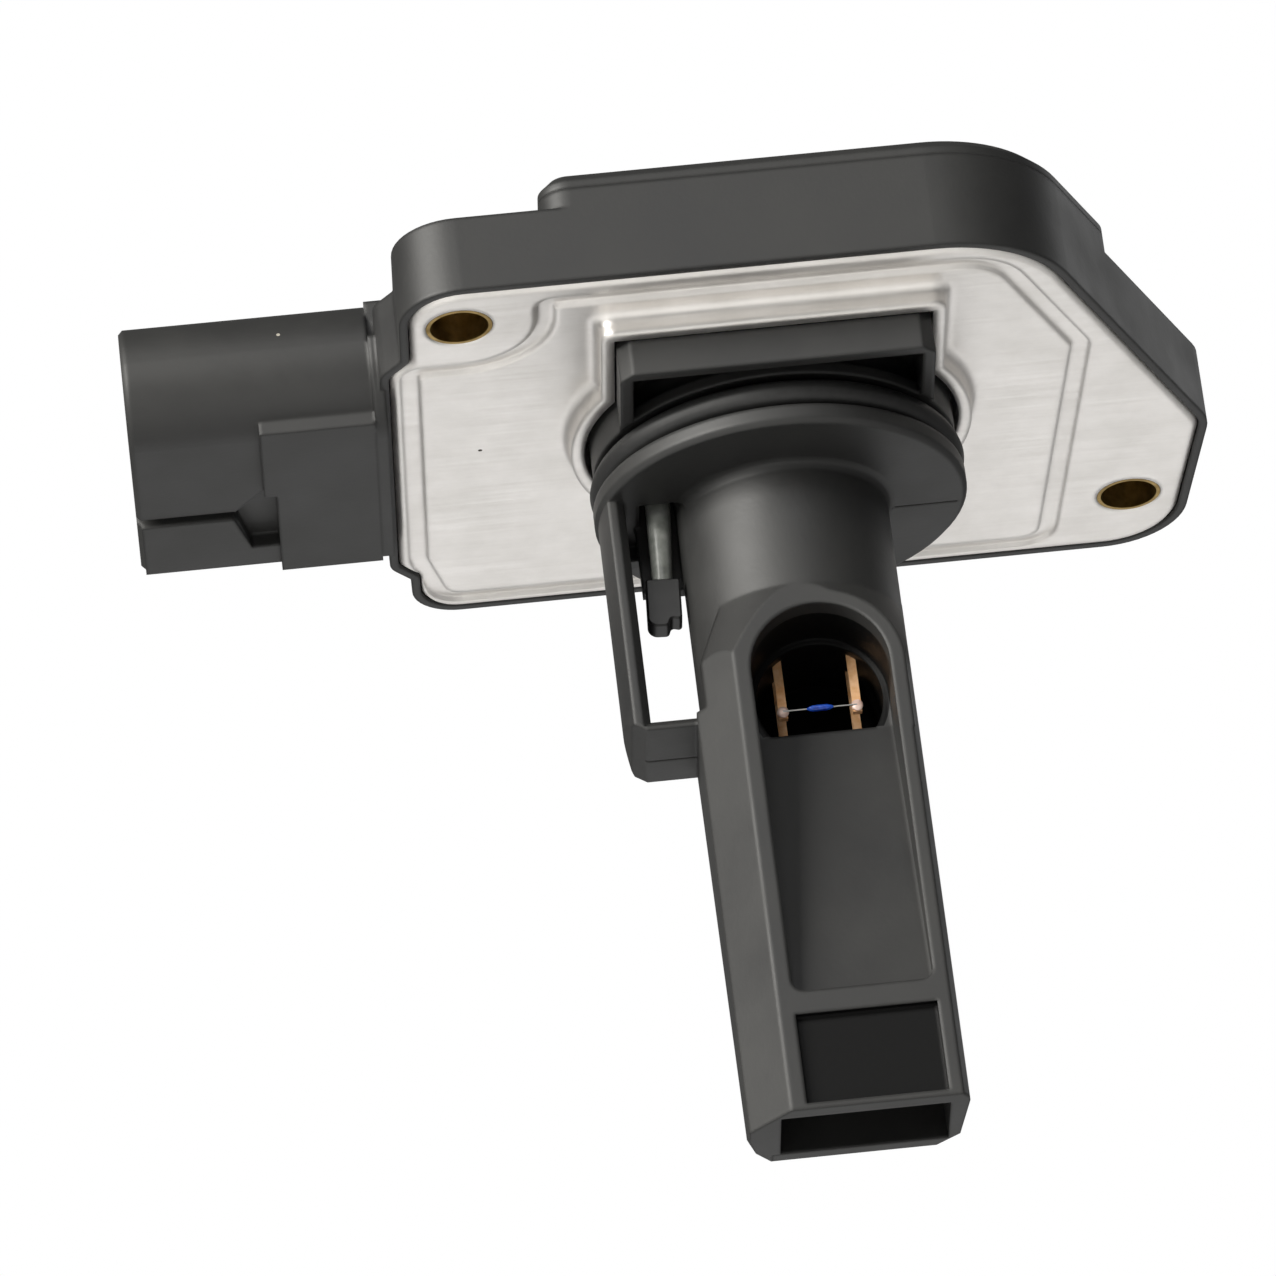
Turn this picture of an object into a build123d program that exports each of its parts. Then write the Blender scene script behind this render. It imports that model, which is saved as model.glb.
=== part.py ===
"""Hot-wire mass airflow sensor for an engine intake duct, plug-in probe type.

Frame: the origin lies on the spigot axis in the mounting plane, which is the lower face of the base
plate. +Z points out of the duct, the probe hangs along -Z into the air stream, the air inlet faces -Y
and the electrical connector points along -X. All sizes are in millimetres.
"""

import os
from math import hypot

from build123d import *

os.makedirs("parts", exist_ok=True)

# ---------------------------------------------------------------- base plate
plate_thickness = 1.5
plate_edge_chamfer = 0.45  # rolled-over lower edge left by blanking
plate_front_y = -24.2
plate_rear_y = 27.5
plate_left_x = -30.1
ear_left_x = -28.4  # the two left corners stand a little inside the left edge
front_notch_y = -14.2
rear_notch_y = 21.9
notch_run = 2.2
slant_start_x = 19.7  # the front right corner is cut back along a slanted edge
slant_end_x = 35.1
slant_end_y = 8.0
rear_right_x = 33.6
front_left_radius = 4.3
notch_radius = 1.4
slant_start_radius = 11.0
slant_end_radius = 4.0
rear_right_radius = 6.0
rear_left_radius = 3.2

screw_left = (-24.5, -19.4)
screw_right = (29.85, 19.2)
screw_hole_radius = 2.3

bead_depth = 0.4  # pressed stiffening groove round the plate
bead_width = 1.5
bead_left_x = -29.3
bead_front_y = -22.6
bead_rear_y = 26.5
bead_right_x = 25.6
bead_screw_gap = 6.0  # the groove runs round the left screw at this distance

lip_height = 1.85  # drawn lip round the plate's opening
lip_wall = 1.05
lip_root_radius = 0.9

# ---------------------------------------------------------------- spigot
collar_radius = 14.9
collar_upper_z = -3.2
collar_upper_radius = 14.55  # above the O-ring the collar is a little smaller
collar_lower_z = -8.7
ring_groove_top_z = -4.2
ring_groove_bottom_z = -7.15
ring_section = 2.2
ring_groove_floor_radius = 12.8
collar_edge_radius = 0.4
neck_radius = 13.4
spigot_clearance = 0.15  # between the spigot and the plate's opening

block_half_width = 12.4
block_front_y = -17.9
block_lower_z = -4.9
block_wall = 1.0
block_corner = 1.0
block_pocket_depth = 4.2

# ---------------------------------------------------------------- housing
housing_rim = 0.8  # plastic border round the plate
rim_recess = 0.15  # the border ends this far above the mounting plane
flange_top_z = 6.6
box_top_z = 9.9
cover_thickness = 1.6
box_wall = 2.0
box_left_x = -28.2
box_front_left_x = -17.4
box_notch_y = -12.8
box_rear_y = 26.2
box_right_x = 27.6
box_step_y = 8.5  # behind this the box draws in to clear the right screw's head
box_screw_x = 25.4
box_screw_y = 13.0
cover_edge_chamfer = 0.9
cover_rib_height = 1.0
cover_rib_wall = 0.9
fit_clearance = 0.1

# ---------------------------------------------------------------- connector
shroud_end_x = -51.05
shroud_root_x = -31.5
shroud_front_y = -11.0
shroud_rear_y = 15.0
shroud_centre_z = 4.3
shroud_height = 10.4
shroud_wall = 1.5
shroud_mouth_chamfer = 0.35
shroud_rear_radius = 1.4
root_margin = 0.8
socket_floor_x = -36.0
pin_count = 5
pin_pitch = 4.0
pin_width = 1.5
pin_thickness = 0.64
pin_tip_x = -44.6
pin_tip_taper = 0.5
pin_pad_end_x = -24.6
latch_pad_left_x = -40.7
latch_pad_front_y = -8.0
latch_pad_height = 0.7
latch_slot_y = 6.0
latch_slot_width = 0.9
latch_recess_depth = 1.0
latch_rail_height = 0.3
latch_recess_left_x = -43.4
latch_recess_right_x = -39.7
latch_recess_front_y = 2.4
latch_recess_rear_y = 11.4
guide_rib_width = 1.2
guide_rib_height = 0.8
guide_rib_spacing = 12.0

# ---------------------------------------------------------------- brass bushes
bush_outer_radius = 3.4
bush_nose_wall = 0.3  # the bush lines the plate's hole too
bush_nose_clearance = 0.05

# ---------------------------------------------------------------- probe
tube_radius = 8.45
probe_front_y = -8.45
probe_left_x = -9.0
probe_right_x = 8.5
probe_right_front_x = 7.85  # the right side draws in towards the front
probe_tip_z = -64.4
blend_top_z = -19.5  # the flat-fronted body grows out of the round tube between these heights
body_top_z = -30.9
blend_spread = 3.8
rear_flat_top_z = -18.0
rear_flat_top_y = 7.0
tip_rear_y = 0.6
probe_chamfer_y = -5.0
probe_chamfer_width = 3.15
parting_y = 0.95
parting_line_width = 0.18
rear_corner = 1.1
tube_root_fillet = 0.7

inlet_x = 0.85  # the air passage stands beside the tube's axis
inlet_arch_z = -26.8
inlet_radius = 5.45
inlet_rim = 1.2
duct_radius = 5.0
duct_floor_z = -29.6
ramp_top_y = -2.2
ramp_bottom_y = -7.2
ramp_bottom_z = -54.5
pocket_corner_radius = 1.0
passage_wall = 1.3
passage_left_x = -6.6
passage_right_x = 6.4
tip_front_wall = 1.4
passage_cover_thickness = 1.15
passage_cover_left_x = -7.2
passage_cover_right_x = 6.9
passage_cover_top_z = -20.0

blind_pocket_top_z = -56.4
blind_pocket_bottom_z = -63.9
blind_pocket_depth = 0.7

# ---------------------------------------------------------------- sensing elements
post_width = 0.7
post_thickness = 0.5
post_left_x = -2.05
post_right_x = 3.8
sense_post_y = -1.0
compensation_post_y = 1.8
sense_post_tip_z = -27.6
compensation_post_tip_z = -29.3
element_rise = 0.5  # the elements stand this far above their posts' tips
element_wire_radius = 0.1
element_bead_radius = 0.28
element_bead_length = 2.4
element_tab_width = 0.5
element_tab_height = 0.7
element_tab_thickness = 0.12
lane_pitch = 2.0  # spacing of the lead-frame strips on the chamber floor
first_lane_y = 3.2

# ---------------------------------------------------------------- air temperature thermistor
frame_front_y = -4.6
frame_inner_x = -12.6
frame_window_bottom_z = -28.2
frame_bottom_z = -29.1
frame_corner = 1.7
frame_corner_height = 2.2
frame_window_half_depth = 5.7
frame_web_bottom_z = -10.1  # the web closes the top of the window at the rear
frame_web_front_y = 3.2
frame_edge_chamfer = 0.6
frame_inset = 0.25  # from the collar's edge
lead_pocket_top_z = -5.0  # the leads leave the plastic at the top of this pocket
lead_pocket_room = 0.6  # round the sleeve
lead_pocket_half_width = 3.4
thermistor_y = -1.0
thermistor_tilt = 3.0
sleeve_radius = 1.1
sleeve_end_radius = 0.8
sleeve_tube_gap = 0.12  # between the sleeve and the tube beside it
sleeve_length = 9.6
rib_gap = 0.1  # between the sleeve and the rib behind it
rib_thickness = 1.2
rib_margin = 0.95  # the rib stands out this far past the sleeve
thermistor_width = 2.75
thermistor_depth = 2.0
thermistor_length = 4.2
lead_radius = 0.25
lead_spacing = 1.0

# ---------------------------------------------------------------- electronics
window_left_x = -24.1
window_right_x = -16.4
window_front_y = -9.0
window_rear_y = 21.0
board_thickness = 0.64
board_gap = 0.2
chip_size = 4.6
chip_height = 1.0
capacitor_size = (1.6, 0.8, 0.8)
resistor_size = (1.6, 0.8, 0.45)
bond_width = 0.5
bond_thickness = 0.15
bond_rise = 1.0
bond_span = 1.7
bond_inset = 0.5
gel_top_z = 6.9
sealant_width = 0.9
sealant_depth = 0.5

# ---------------------------------------------------------------- derived places
shroud_radius = shroud_height / 2
shroud_bottom_z = shroud_centre_z - shroud_radius
shroud_top_z = shroud_centre_z + shroud_radius
shroud_mid_y = (shroud_front_y + shroud_rear_y) / 2
cover_seat_z = box_top_z - cover_thickness
chamber_floor_z = shroud_centre_z - pin_thickness / 2
opening_radius = collar_radius + spigot_clearance
opening_half_width = block_half_width + spigot_clearance
opening_front_y = block_front_y - spigot_clearance
board_top_z = plate_thickness + board_thickness
rear_slope = (rear_flat_top_y - tip_rear_y) / (rear_flat_top_z - probe_tip_z)
thermistor_x = -(tube_radius + sleeve_radius + sleeve_tube_gap)
lead_pocket_left_x = thermistor_x - sleeve_radius - lead_pocket_room
lane_end_x = window_right_x + bond_inset / 2
pin_top_z = chamber_floor_z + pin_thickness
strip_top_z = chamber_floor_z + post_thickness
shroud_depth_y = shroud_rear_y - shroud_front_y
rail_start_x = shroud_end_x + shroud_mouth_chamfer
far = 120.0  # longer than the part: cutting solids run this far past it


slant_run = (slant_end_x - slant_start_x) / (slant_end_y - plate_front_y)
slant_shift = housing_rim * hypot(1, slant_run)
box_front_y = plate_front_y - housing_rim
box_slant_start_x = slant_start_x + slant_shift - housing_rim * slant_run
box_slant_end_y = plate_front_y + (box_right_x - slant_start_x - slant_shift) / slant_run
bush_nose_radius = screw_hole_radius + bush_nose_wall
rib_front_y = thermistor_y + sleeve_radius + rib_gap
rib_left_x = thermistor_x - sleeve_radius - rib_margin


def rear_face_y(z):
    """Y of the slanted rear face of the probe at the height z."""
    return tip_rear_y + (z - probe_tip_z) * rear_slope


plate_points = [
    (ear_left_x, plate_front_y),
    (slant_start_x, plate_front_y),
    (slant_end_x, slant_end_y),
    (rear_right_x, plate_rear_y),
    (ear_left_x, plate_rear_y),
    (ear_left_x, rear_notch_y),
    (plate_left_x, rear_notch_y - notch_run),
    (plate_left_x, front_notch_y + notch_run),
    (ear_left_x, front_notch_y),
]
plate_radii = [
    front_left_radius,
    slant_start_radius,
    slant_end_radius,
    rear_right_radius,
    rear_left_radius,
    notch_radius,
    notch_radius,
    notch_radius,
    notch_radius,
]

bead_screw_x = screw_left[0] + bead_screw_gap
bead_screw_y = screw_left[1] + bead_screw_gap
bead_points = [
    (bead_left_x, bead_screw_y),
    (bead_screw_x, bead_screw_y),
    (bead_screw_x, bead_front_y),
    (slant_start_x - 1.5, bead_front_y),
    (bead_right_x, -7.2),
    (bead_right_x - 1.6, bead_rear_y),
    (bead_left_x + 1.9, bead_rear_y),
    (bead_left_x, rear_notch_y - 3.0),
]
bead_radii = [1.8, bead_screw_gap, 1.6, 6.0, 2.2, 3.0, 3.0, 2.0]

box_points = [
    (box_front_left_x, box_front_y),
    (box_slant_start_x, box_front_y),
    (box_right_x, box_slant_end_y),
    (box_right_x, box_step_y),
    (box_screw_x, box_screw_y),
    (box_screw_x, box_rear_y),
    (box_left_x, box_rear_y),
    (box_left_x, box_notch_y),
    (box_front_left_x, box_notch_y),
]
box_radii = [2.4, slant_start_radius + housing_rim, 3.0, 3.0, 3.0, 4.0, 4.0, 2.4, 3.0]


def finish(part, name):
    """Label a finished piece and write it as its own STEP file."""
    part.label = name
    export_step(part, f"parts/{name}.step")


# ================================================================ plan outlines
with BuildSketch() as plate_outline:
    with BuildLine():
        FilletPolyline(*plate_points, radius=plate_radii, close=True)
    make_face()

with BuildSketch() as housing_outline:
    add(plate_outline.sketch)
    offset(amount=housing_rim)

with BuildSketch() as plate_seat_outline:
    add(plate_outline.sketch)
    offset(amount=fit_clearance)

with BuildSketch() as box_outline:
    with BuildLine():
        FilletPolyline(*box_points, radius=box_radii, close=True)
    make_face()

with BuildSketch() as chamber_outline:
    add(box_outline.sketch)
    offset(amount=-box_wall)

with BuildSketch() as opening_outline:
    Circle(opening_radius)
    with Locations((0, opening_front_y / 2)):
        Rectangle(2 * opening_half_width, -opening_front_y)

# ================================================================ base plate
with BuildPart() as base_plate:
    add(plate_outline.sketch)
    extrude(amount=plate_thickness)
    chamfer(base_plate.faces().sort_by(Axis.Z)[0].edges(), plate_edge_chamfer)
    with BuildSketch():
        add(opening_outline.sketch)
        offset(amount=lip_wall)
    extrude(amount=-lip_height)
    lip_root = base_plate.edges().filter_by_position(Axis.Z, 0, 0)
    lip_root = lip_root.filter_by(lambda edge: hypot(edge.center().X, edge.center().Y) < 19.5)
    fillet(lip_root, lip_root_radius)
    with BuildSketch():
        add(opening_outline.sketch)
    extrude(amount=lip_height, both=True, mode=Mode.SUBTRACT)
    with Locations(screw_left, screw_right):
        Hole(bush_nose_radius + bush_nose_clearance)
    with BuildSketch():
        with BuildLine():
            FilletPolyline(*bead_points, radius=bead_radii, close=True)
        make_face()
        offset(amount=-bead_width, mode=Mode.SUBTRACT)
    extrude(amount=bead_depth, mode=Mode.SUBTRACT)

# ================================================================ brass bushes
with BuildPart() as bush:
    with BuildSketch(Plane.XZ):
        with BuildLine():
            Polyline(
                (screw_hole_radius, 0),
                (bush_nose_radius, 0),
                (bush_nose_radius, plate_thickness),
                (bush_outer_radius, plate_thickness),
                (bush_outer_radius, flange_top_z),
                (screw_hole_radius, flange_top_z),
                close=True,
            )
        make_face()
    revolve(axis=Axis.Z)

bushes = {}
for bush_name, bush_place in (("bushing_left", screw_left), ("bushing_right", screw_right)):
    with BuildPart() as placed_bush:
        with Locations(bush_place):
            add(bush.part)
    bushes[bush_name] = placed_bush.part

# ================================================================ O-ring
with BuildPart() as o_ring:
    ring_z = (ring_groove_top_z + ring_groove_bottom_z) / 2
    with BuildSketch(Plane.XZ):
        with Locations((ring_groove_floor_radius + ring_section / 2, ring_z)):
            RegularPolygon(ring_section / 2, 8, major_radius=False, rotation=22.5)
    revolve(axis=Axis.Z)

# ================================================================ connector pins
pins = {}
for index in range(pin_count):
    pin_y = shroud_mid_y + (index - (pin_count - 1) / 2) * pin_pitch
    with BuildPart() as pin:
        with BuildSketch(Plane.XY.offset(chamber_floor_z)):
            with BuildLine():
                Polyline(
                    (pin_tip_x, pin_y - pin_width / 2 + pin_tip_taper),
                    (pin_tip_x + 2 * pin_tip_taper, pin_y - pin_width / 2),
                    (pin_pad_end_x, pin_y - pin_width / 2),
                    (pin_pad_end_x, pin_y + pin_width / 2),
                    (pin_tip_x + 2 * pin_tip_taper, pin_y + pin_width / 2),
                    (pin_tip_x, pin_y + pin_width / 2 - pin_tip_taper),
                    close=True,
                )
            make_face()
        extrude(amount=pin_thickness)
    pins[f"terminal_{index + 1}"] = pin.part

# ================================================================ element posts
second_lane_y = first_lane_y + lane_pitch
post_places = {
    "sense_post_left": (post_left_x, sense_post_y, -first_lane_y, sense_post_tip_z),
    "sense_post_right": (post_right_x, sense_post_y, -second_lane_y, sense_post_tip_z),
    "compensation_post_left": (post_left_x, compensation_post_y, first_lane_y, compensation_post_tip_z),
    "compensation_post_right": (post_right_x, compensation_post_y, second_lane_y, compensation_post_tip_z),
}
posts = {}
for post_name, (post_x, post_y, lane_y, post_tip_z) in post_places.items():
    with BuildPart() as post:
        with BuildSketch(Plane.XY.offset(chamber_floor_z)):
            with BuildLine() as lane:
                Polyline((post_x, post_y), (post_x, lane_y), (lane_end_x, lane_y))
            trace(lane.line, post_width)
            with Locations((post_x, post_y)):
                Rectangle(post_width, post_thickness)
        extrude(amount=post_thickness)
        with BuildSketch(Plane.XY.offset(post_tip_z)):
            with Locations((post_x, post_y)):
                Rectangle(post_width, post_thickness)
        extrude(amount=chamber_floor_z - post_tip_z)
    posts[post_name] = post.part

# ================================================================ sensing elements
elements = {}
for element_name, post_y, post_tip_z in (
    ("heating_element", sense_post_y, sense_post_tip_z),
    ("compensation_element", compensation_post_y, compensation_post_tip_z),
):
    element_z = post_tip_z + element_rise
    element_y = post_y - post_thickness / 2 - element_tab_thickness / 2
    with BuildPart() as element:
        with BuildSketch(Plane.YZ.offset(post_left_x)):
            with Locations((element_y, element_z)):
                RegularPolygon(element_wire_radius, 6)
        extrude(amount=post_right_x - post_left_x)
        with BuildSketch(Plane.YZ.offset(inlet_x - element_bead_length / 2)):
            with Locations((element_y, element_z)):
                RegularPolygon(element_bead_radius, 8)
        extrude(amount=element_bead_length)
        with Locations((post_left_x, element_y, element_z), (post_right_x, element_y, element_z)):
            Box(element_tab_width, element_tab_thickness, element_tab_height)
        split(bisect_by=Plane(origin=(0, post_y - post_thickness / 2, 0), z_dir=(0, 1, 0)), keep=Keep.BOTTOM)
    elements[element_name] = element.part

# ================================================================ thermistor with its leads and sleeve
thermistor_axis = Axis((thermistor_x, thermistor_y, lead_pocket_top_z), (0, 1, 0))
thermistor_top_z = lead_pocket_top_z - sleeve_length


def tilted(shape):
    """Lean a shape about the point where the leads leave the plastic."""
    return shape.rotate(thermistor_axis, thermistor_tilt)


leads = {}
for lead_name, side in (("thermistor_lead_front", -1), ("thermistor_lead_rear", 1)):
    lead_y = thermistor_y + side * lead_spacing / 2
    with BuildPart() as free_length:
        with BuildSketch(Plane.XY.offset(lead_pocket_top_z)):
            with Locations((thermistor_x, lead_y)):
                RegularPolygon(lead_radius, 8)
        extrude(amount=-sleeve_length - 0.8)
    with BuildPart() as lead:
        add(tilted(free_length.part))
        bend_z = lead_pocket_top_z - lead_radius / 2
        with BuildSketch(Plane.XY.offset(bend_z)):
            with Locations((thermistor_x, lead_y)):
                RegularPolygon(lead_radius, 8)
        extrude(amount=chamber_floor_z - bend_z)
        with BuildSketch(Plane.XY.offset(chamber_floor_z)):
            with Locations(((thermistor_x + lane_end_x) / 2, lead_y)):
                Rectangle(thermistor_x - lane_end_x + 2 * lead_radius, 2 * lead_radius)
        extrude(amount=post_thickness)
    leads[lead_name] = lead.part

with BuildPart() as straight_sleeve:
    with Locations((thermistor_x, thermistor_y, (lead_pocket_top_z + thermistor_top_z) / 2)):
        Cone(sleeve_end_radius, sleeve_radius, sleeve_length)
    with Locations((thermistor_x, thermistor_y, lead_pocket_top_z)):
        Cylinder(sleeve_radius, 1.0, align=(Align.CENTER, Align.CENTER, Align.MIN))
with BuildPart() as thermistor_sleeve:
    add(tilted(straight_sleeve.part))
    split(bisect_by=Plane.XY.offset(lead_pocket_top_z), keep=Keep.BOTTOM)
    for lead_part in leads.values():
        add(lead_part, mode=Mode.SUBTRACT)

with BuildPart() as straight_thermistor:
    with BuildSketch(Plane.XZ.offset(-thermistor_y - thermistor_depth / 2)):
        with BuildLine():
            left_x = thermistor_x - thermistor_width / 2
            right_x = thermistor_x + thermistor_width / 2
            lobe_z = thermistor_top_z - thermistor_length
            FilletPolyline(
                (left_x, thermistor_top_z),
                (left_x, lobe_z),
                (left_x + 0.6 * thermistor_width, lobe_z),
                (left_x + 0.68 * thermistor_width, lobe_z + 0.7),
                (right_x, lobe_z + 0.5),
                (right_x, thermistor_top_z),
                radius=[0.2, 0.8, 0.35, 0.3, 0.3, 0.2],
                close=True,
            )
        make_face()
    extrude(amount=thermistor_depth)
    chamfer(straight_thermistor.faces().sort_by(Axis.Y)[0].edges(), 0.15)
with BuildPart() as thermistor:
    add(tilted(straight_thermistor.part))
    for lead_part in leads.values():
        add(lead_part, mode=Mode.SUBTRACT)

# ================================================================ rear passage cover
with BuildPart() as passage_cover:
    cover_mid_x = (passage_cover_left_x + passage_cover_right_x) / 2
    cover_half_width = (passage_cover_right_x - passage_cover_left_x) / 2
    with BuildSketch(Plane.YZ.offset(cover_mid_x)):
        with BuildLine():
            Polyline(
                (rear_face_y(probe_tip_z), probe_tip_z),
                (rear_face_y(passage_cover_top_z), passage_cover_top_z),
                (rear_face_y(passage_cover_top_z) - passage_cover_thickness, passage_cover_top_z),
                (rear_face_y(probe_tip_z) - passage_cover_thickness, probe_tip_z),
                close=True,
            )
        make_face()
    extrude(amount=cover_half_width, both=True)

# ================================================================ air passage (removed from the probe)
with BuildPart() as inlet_recess:
    with BuildSketch(Plane.XZ.offset(-ramp_top_y)):
        with Locations((inlet_x, inlet_arch_z)):
            Circle(inlet_radius)
        with Locations((inlet_x, (inlet_arch_z + ramp_bottom_z) / 2)):
            Rectangle(2 * inlet_radius, inlet_arch_z - ramp_bottom_z)
    extrude(amount=ramp_top_y - probe_front_y)
    recess_corners = inlet_recess.edges().filter_by(Axis.Y).group_by(Axis.Z)[0]
    fillet(recess_corners, pocket_corner_radius)
    with BuildSketch(Plane.YZ):
        with BuildLine():
            Polyline(
                (probe_front_y, 0),
                (ramp_top_y, 0),
                (ramp_top_y, duct_floor_z),
                (ramp_bottom_y, ramp_bottom_z),
                (probe_front_y, ramp_bottom_z),
                close=True,
            )
        make_face()
    extrude(amount=far, both=True, mode=Mode.INTERSECT)

with BuildPart() as air_duct:
    with BuildSketch(Plane.XZ.offset(-ramp_top_y)):
        with Locations((inlet_x, inlet_arch_z)):
            Circle(duct_radius)
        with Locations((inlet_x, duct_floor_z - duct_radius)):
            Rectangle(4 * duct_radius, 2 * duct_radius, mode=Mode.SUBTRACT)
    extrude(amount=-far)
    channel_front_y = ramp_top_y + passage_wall
    with BuildSketch(Plane.YZ.offset((passage_left_x + passage_right_x) / 2)):
        with BuildLine():
            Polyline(
                (channel_front_y, duct_floor_z + 1.5),
                (rear_face_y(duct_floor_z), duct_floor_z + 1.5),
                (rear_face_y(probe_tip_z), probe_tip_z),
                (probe_front_y + tip_front_wall, probe_tip_z),
                (ramp_bottom_y + passage_wall, ramp_bottom_z),
                (channel_front_y, duct_floor_z),
                close=True,
            )
        make_face()
    extrude(amount=(passage_right_x - passage_left_x) / 2, both=True)
    with BuildSketch(Plane.YZ):
        with BuildLine():
            Polyline(
                (rear_face_y(0) - passage_cover_thickness, 0),
                (probe_front_y, 0),
                (probe_front_y, probe_tip_z),
                (rear_face_y(probe_tip_z) - passage_cover_thickness, probe_tip_z),
                close=True,
            )
        make_face()
    extrude(amount=far, both=True, mode=Mode.INTERSECT)

# ================================================================ flat-fronted probe body
with BuildPart() as probe_body:
    with BuildSketch(Plane.XY.offset(probe_tip_z)):
        with BuildLine():
            Polyline(
                (probe_left_x, probe_chamfer_y),
                (probe_left_x + probe_chamfer_width, probe_front_y),
                (probe_right_front_x - 0.5, probe_front_y),
                (probe_right_front_x, probe_front_y + 0.8),
                (probe_right_x, parting_y),
                (probe_right_x, rear_flat_top_y),
                (probe_left_x, rear_flat_top_y),
                close=True,
            )
        make_face()
    extrude(amount=blend_top_z - probe_tip_z)
    with BuildSketch(Plane.XZ):
        with BuildLine():
            Polyline(
                (0, blend_top_z),
                (tube_radius, blend_top_z),
                (tube_radius + blend_spread, body_top_z),
                (far, body_top_z),
                (far, probe_tip_z),
                (0, probe_tip_z),
                close=True,
            )
        make_face()
    revolve(axis=Axis.Z, mode=Mode.INTERSECT)

# ================================================================ housing
shroud_points = [
    (shroud_front_y, shroud_bottom_z),
    (shroud_front_y, shroud_top_z),
    (shroud_rear_y, shroud_top_z),
    (shroud_rear_y, shroud_bottom_z),
]
shroud_radii = [shroud_radius - 0.02, shroud_radius - 0.02, shroud_rear_radius, shroud_rear_radius]
with BuildSketch() as shroud_outline:
    with BuildLine():
        FilletPolyline(*shroud_points, radius=shroud_radii, close=True)
    make_face()

with BuildSketch() as socket_outline:
    with BuildLine():
        FilletPolyline(
            (shroud_front_y + shroud_wall, shroud_bottom_z + shroud_wall),
            (shroud_front_y + shroud_wall, shroud_top_z - shroud_wall),
            (shroud_rear_y - shroud_wall, shroud_top_z - shroud_wall),
            (shroud_rear_y - shroud_wall, shroud_bottom_z + shroud_wall),
            radius=[shroud_radius - shroud_wall - 0.02, shroud_radius - shroud_wall - 0.02, 0.6, 0.6],
            close=True,
        )
    make_face()

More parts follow.
